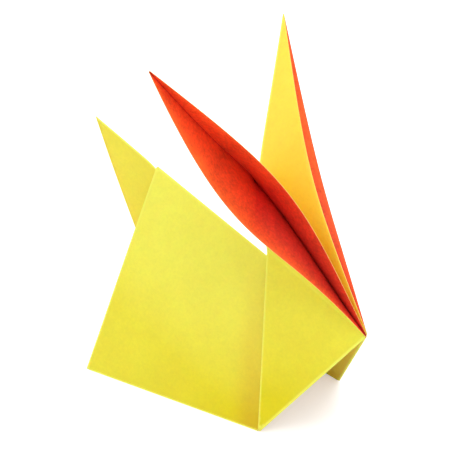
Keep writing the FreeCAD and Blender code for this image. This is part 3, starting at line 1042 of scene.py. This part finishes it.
def thickness_tree():
    """Mirror a half sheet and give it thickness, sides and cut edges."""
    tree = bpy.data.node_groups.new("mirror_and_thicken", "GeometryNodeTree")
    add_sockets(tree, "INPUT", "Geometry", "Geometry")
    add_sockets(tree, "INPUT", "Float", "Thickness")
    add_sockets(tree, "INPUT", "Material", *SIDES)
    add_sockets(tree, "OUTPUT", "Geometry", "Geometry")
    nodes, links = tree.nodes, tree.links
    made = nodes.new("NodeGroupOutput")
    given = nodes.new("NodeGroupInput").outputs

    def step(kind, geometry, **settings):
        """A node that takes a geometry first."""
        node = nodes.new(kind)
        for name, setting in settings.items():
            setattr(node, name, setting)
        links.new(geometry, node.inputs[0])
        return node

    def join(first, second):
        node = nodes.new("GeometryNodeJoinGeometry")
        links.new(first, node.inputs[0])
        links.new(second, node.inputs[0])
        merge = step("GeometryNodeMergeByDistance", node.outputs[0])
        set_inputs(merge, Distance=SAME_PLACE)
        return merge.outputs[0]

    def moved(geometry, distance):
        """Points moved along the normals that were captured."""
        node = step("GeometryNodeSetPosition", geometry)
        links.new(scaled(tree, normal, distance), node.inputs["Offset"])
        return node.outputs[0]

    half = given["Geometry"]
    other = step("GeometryNodeTransform", half)
    set_inputs(other, Scale=(1, -1, 1))
    other = step("GeometryNodeFlipFaces", other.outputs[0])
    whole = join(half, other.outputs[0])

    capture = step("GeometryNodeCaptureAttribute", whole, domain="POINT")
    capture.capture_items.new("VECTOR", "Normal")
    links.new(nodes.new("GeometryNodeInputNormal").outputs[0], capture.inputs[1])
    normal = capture.outputs[1]
    up = value(tree, "MULTIPLY", given["Thickness"], 0.5)
    down = value(tree, "MULTIPLY", given["Thickness"], -0.5)

    extrude = step("GeometryNodeExtrudeMesh", capture.outputs[0])
    set_inputs(extrude, Individual=False, Offset_Scale=0.0)
    choice = nodes.new("GeometryNodeSwitch")
    choice.input_type = "FLOAT"
    links.new(extrude.outputs["Top"], choice.inputs["Switch"])
    links.new(down, choice.inputs["False"])
    links.new(up, choice.inputs["True"])

    def labelled(geometry, selection, number):
        """Store on faces which part of the paper they are."""
        node = step("GeometryNodeStoreNamedAttribute", geometry, data_type="INT",
                    domain="FACE")
        set_inputs(node, Name="paper_part", Value=number)
        if selection:
            links.new(selection, node.inputs["Selection"])
        return node.outputs[0]

    first = labelled(extrude.outputs["Mesh"], extrude.outputs["Top"], 1)
    first = labelled(first, extrude.outputs["Side"], 3)
    first = moved(first, choice.outputs[0])
    second = labelled(capture.outputs[0], None, 2)
    second = moved(second, down)
    second = step("GeometryNodeFlipFaces", second).outputs[0]
    solid = join(first, second)
    result = step("GeometryNodeRealizeInstances", solid).outputs[0]
    part = nodes.new("GeometryNodeInputNamedAttribute")
    part.data_type = "INT"
    set_inputs(part, Name="paper_part")
    for number, name in enumerate(SIDES, 1):
        same = nodes.new("FunctionNodeCompare")
        same.data_type = "INT"
        same.operation = "EQUAL"
        links.new(part.outputs["Attribute"], same.inputs[2])
        same.inputs[3].default_value = number
        paint = step("GeometryNodeSetMaterial", result)
        links.new(same.outputs[0], paint.inputs["Selection"])
        links.new(given[name], paint.inputs["Material"])
        result = paint.outputs[0]
    links.new(result, made.inputs[0])
    return tree


# %% [markdown]
# The tree is put on the half sheet as a modifier.  Its result is then kept as a plain
# mesh, because the next step moves single points of it.

# %% Give the sheet its thickness
mesh.materials.append(yellow_side)
modifier = folded_paper.modifiers.new("paper", "NODES")
modifier.node_group = thickness_tree()
wanted = dict(zip(SIDES, (yellow_side, red_side, cut_edge)), Thickness=PAPER * MM)
for item in modifier.node_group.interface.items_tree:
    if item.in_out == "INPUT" and item.name in wanted:
        modifier[item.identifier] = wanted[item.name]
evaluated = folded_paper.evaluated_get(bpy.context.evaluated_depsgraph_get())
finished = bpy.data.meshes.new_from_object(evaluated)
folded_paper.modifiers.clear()
folded_paper.data = finished
print("paper faces", len(finished.polygons), "materials",
      [material.name for material in finished.materials])

# %% [markdown]
# ## A fold made by hand
#
# The two chin creases of a hand-folded sheet never match.  Here the left one meets the
# ground a few millimetres further forward.  The left side's points are slid forwards,
# most at the foot, and not at all along the back line, behind the heel and in the ears.

# %% Slide the left front foot forwards
LEFT_FOOT_AHEAD = 3.3

count = len(finished.vertices)
spots = np.empty(count * 3, np.float32)
finished.vertices.foreach_get("co", spots)
spots = spots.reshape(count, 3)
local = spots / MM - np.array(shift)
depth = -local @ np.array(BACK_UP)
along = -local @ np.array(BACK_LINE)
foot_depth = foot[1] * cos(SIDE_SPREAD)
share = np.clip(depth / foot_depth, 0, None)
share *= np.clip((heel[0] - along) / (heel[0] - foot[0]), 0, 1)
left = spots[:, 1] > 0
spots[:, 0] += np.where(left, share * LEFT_FOOT_AHEAD * MM, 0)
finished.vertices.foreach_set("co", spots.ravel())
finished.update()
print("furthest slide in mm:", round(float(share[left].max()) * LEFT_FOOT_AHEAD, 2))

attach(folded_paper, "root")
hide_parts("folded_sheet")

# %% [markdown]
# ## The camera
#
# The rabbit is seen from its front right quarter and from above.  The camera is placed
# by its angles round the object, with a long lens, as for a small thing on a table.

# %% Camera
CAMERA_TURN = radians(39.08)
CAMERA_RISE = radians(29.49)
CAMERA_DISTANCE = 0.31333
CAMERA_TARGET = Vector((3.9, 0, 43.4)) * MM
CAMERA_FIELD = radians(21.9)
CAMERA_NEAR = 0.01


def look_from(thing, turn, rise, distance):
    """Put a camera or lamp at these angles and turn it to the rabbit."""
    way = Vector((sin(turn) * cos(rise), -cos(turn) * cos(rise), sin(rise)))
    thing.location = CAMERA_TARGET + way * distance
    thing.rotation_euler = (-way).to_track_quat("-Z", "Y").to_euler()


camera_data = bpy.data.cameras.new("camera")
camera_data.angle = CAMERA_FIELD
camera_data.clip_start = CAMERA_NEAR
camera = put_in_scene("camera", camera_data)
look_from(camera, CAMERA_TURN, CAMERA_RISE, CAMERA_DISTANCE)
bpy.context.scene.camera = camera
print("camera at", [round(v, 3) for v in camera.location])

# %% [markdown]
# ## Floor and light
#
# A pale floor and a white surround keep the paper's own colours true.  A large soft
# lamp hangs above the front, a small one at the left sets the panels apart, and one in
# front reaches into the ears.  A large one behind shines through the single layers.
# The white world gives most of the light, so that the grooves stay deep but not black.
#
# The floor gets a weak glow that only the camera sees.  It makes the floor white, puts
# no light on the paper, and leaves the paper's shadow where it falls.


# %% Floor
FLOOR_REACH = 3.0
FLOOR_ROUGHNESS = 0.9
FLOOR_GLOW = 0.4


def plain_floor():
    """One wide square on the ground."""
    mesh = bpy.data.meshes.new("floor")
    corners = [(x * FLOOR_REACH, y * FLOOR_REACH, 0)
               for x, y in ((-1, -1), (1, -1), (1, 1), (-1, 1))]
    mesh.from_pydata(corners, [], [(0, 1, 2, 3)])
    floor = put_in_scene("floor", mesh)
    material = bpy.data.materials.new("floor_white")
    material.use_nodes = True
    tree = material.node_tree
    shader = tree.nodes["Principled BSDF"]
    set_inputs(shader, Base_Color=FLOOR, Roughness=FLOOR_ROUGHNESS,
               Emission_Color=(1, 1, 1, 1))
    rays = tree.nodes.new("ShaderNodeLightPath")
    glow = value(tree, "MULTIPLY", rays.outputs["Is Camera Ray"], FLOOR_GLOW)
    tree.links.new(glow, shader.inputs["Emission Strength"])
    mesh.materials.append(material)
    return floor


floor = plain_floor()
print("floor is", round(floor.dimensions.x, 1), "m wide")


# %% Lamps
def soft_lamp(name, turn, rise, distance, size, power):
    """A square lamp that looks at the rabbit from the given angles."""
    data = bpy.data.lights.new(name, "AREA")
    data.size = size
    data.energy = power
    look_from(put_in_scene(name, data), radians(turn), radians(rise), distance)


soft_lamp("top_lamp", turn=70, rise=65, distance=0.6, size=0.4, power=0.8)
soft_lamp("key_lamp", turn=-25, rise=20, distance=0.36, size=0.15, power=0.21)
soft_lamp("front_lamp", turn=80, rise=30, distance=0.5, size=0.2, power=0.2)
soft_lamp("back_lamp", turn=190, rise=35, distance=0.7, size=0.5, power=1.8)
print("lamps:", [lamp.name for lamp in bpy.data.lights])

# %% World
WORLD_LIGHT = 0.8    # what falls on the paper; what the camera sees is 1, which is white

world = bpy.data.worlds.new("white_room")
bpy.context.scene.world = world
world.use_nodes = True
tree = world.node_tree
background = tree.nodes["Background"]
set_inputs(background, Color=(1, 1, 1, 1))
rays = tree.nodes.new("ShaderNodeLightPath").outputs
seen = value(tree, "MAXIMUM", rays["Is Camera Ray"],
             value(tree, "MAXIMUM", rays["Is Glossy Ray"], rays["Is Transmission Ray"]))
strength = value(tree, "MULTIPLY_ADD", seen, 1 - WORLD_LIGHT, WORLD_LIGHT)
tree.links.new(strength, background.inputs["Strength"])
bpy.context.scene.view_settings.view_transform = "Standard"
